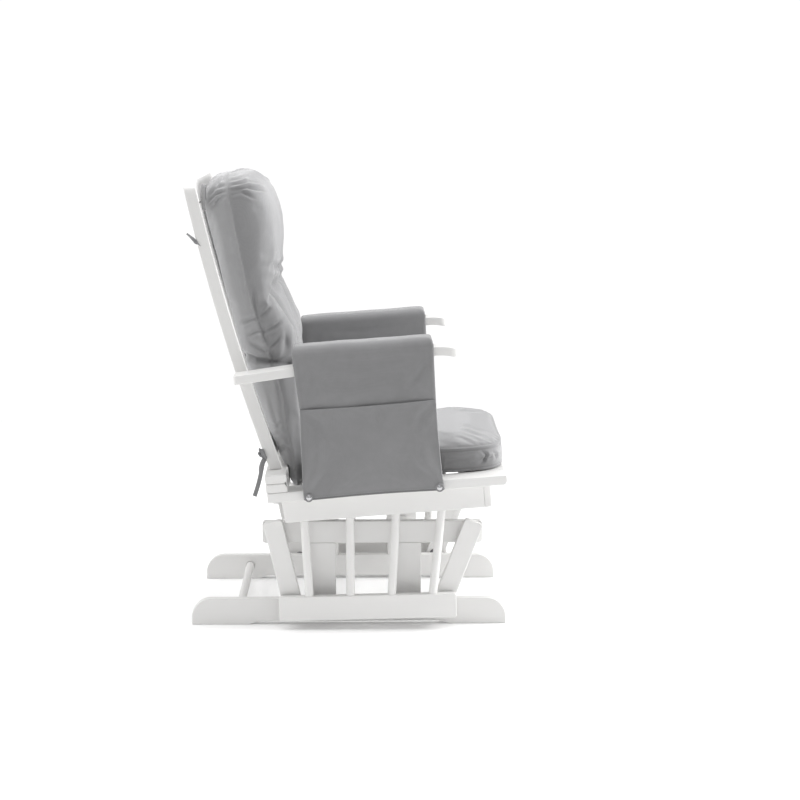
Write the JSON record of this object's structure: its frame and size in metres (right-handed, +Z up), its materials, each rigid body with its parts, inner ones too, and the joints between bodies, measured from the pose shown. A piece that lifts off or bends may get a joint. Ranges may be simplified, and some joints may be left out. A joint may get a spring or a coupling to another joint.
{
  "type": "glider nursery chair",
  "caption": "Gliding nursery chair with a white wooden frame hung on swing links, a buttoned back cushion, a seat cushion and padded arm covers with side pockets.",
  "frame": {"origin": "on the floor, under the middle of the base", "axes": "+Z up, the chair faces -Y, +X towards the sitter's left"},
  "size_m": [0.681, 0.7417, 1.0614],
  "materials": {
    "painted_wood": "satin white paint",
    "bolt_metal": "satin black",
    "bearing_steel": "ground steel",
    "spacer_nylon": "natural nylon",
    "cushion_fabric": "brushed polyester",
    "cover_fabric": "brushed polyester",
    "tie_fabric": "folded and stitched strip",
    "snap_chrome": "polished"
  },
  "bodies": {
    "base": {"base_rail_left": "painted_wood", "base_rail_right": "painted_wood", "upright_left_rear": "painted_wood", "upright_left_front": "painted_wood", "upright_right_rear": "painted_wood", "upright_right_front": "painted_wood", "top_beam_left": "painted_wood", "top_beam_right": "painted_wood", "rear_stretcher": "painted_wood", "front_stretcher": "painted_wood", "rear_rod": "painted_wood", "top_pivot_bolts": "bolt_metal", "top_pivot_spacers": "spacer_nylon"},
    "rear_links": {"rear_link_left": "painted_wood", "rear_link_right": "painted_wood", "rear_link_bearings": "bearing_steel"},
    "front_links": {"front_link_left": "painted_wood", "front_link_right": "painted_wood", "front_link_bearings": "bearing_steel"},
    "seat": {"low_pivot_bolts": "bolt_metal", "low_pivot_spacers": "spacer_nylon", "glide_rail_left": "painted_wood", "glide_rail_right": "painted_wood", "spindles_left": "painted_wood", "spindles_right": "painted_wood", "apron_left": "painted_wood", "apron_right": "painted_wood", "front_apron": "painted_wood", "rear_cross_rail": "painted_wood", "slat_cleats": "painted_wood", "seat_slats": "painted_wood", "seat_board_left": "painted_wood", "seat_board_right": "painted_wood", "seat_board_front": "painted_wood", "riser_lower": "painted_wood", "riser_upper": "painted_wood", "stile_left": "painted_wood", "stile_right": "painted_wood", "crest_rail": "painted_wood", "lower_back_rail": "painted_wood", "back_slats": "painted_wood", "arm_left": "painted_wood", "arm_right": "painted_wood", "arm_bolts": "snap_chrome", "arm_post_left": "painted_wood", "arm_post_right": "painted_wood", "arm_spindles": "painted_wood", "seat_cushion": "cushion_fabric", "back_cushion": "cushion_fabric", "arm_cover_left": "cover_fabric", "arm_cover_right": "cover_fabric", "pocket_left": "cover_fabric", "pocket_right": "cover_fabric", "cover_snaps": "snap_chrome", "cushion_ties": "tie_fabric"}
  },
  "joints": [
    {"name": "rear_link_swing", "type": "hinge", "parent": "base", "child": "rear_links", "pos_m": [0, 0.17, 0.221], "axis": [-1, 0, 0], "range_deg": [-12, 12]},
    {"name": "front_link_swing", "type": "hinge", "parent": "base", "child": "front_links", "pos_m": [0, -0.281, 0.221], "axis": [-1, 0, 0], "range_deg": [-12.8, 12.8]},
    {"name": "seat_pitch", "type": "hinge", "parent": "rear_links", "child": "seat", "pos_m": [0, 0.12981, 0.04965], "axis": [-1, 0, 0], "range_deg": [-15.8, 15.8]}
  ],
  "couplings": [
    {"joint": "front_link_swing", "follows": "rear_link_swing", "ratio": 1.055},
    {"joint": "seat_pitch", "follows": "rear_link_swing", "ratio": -1.304}
  ]
}
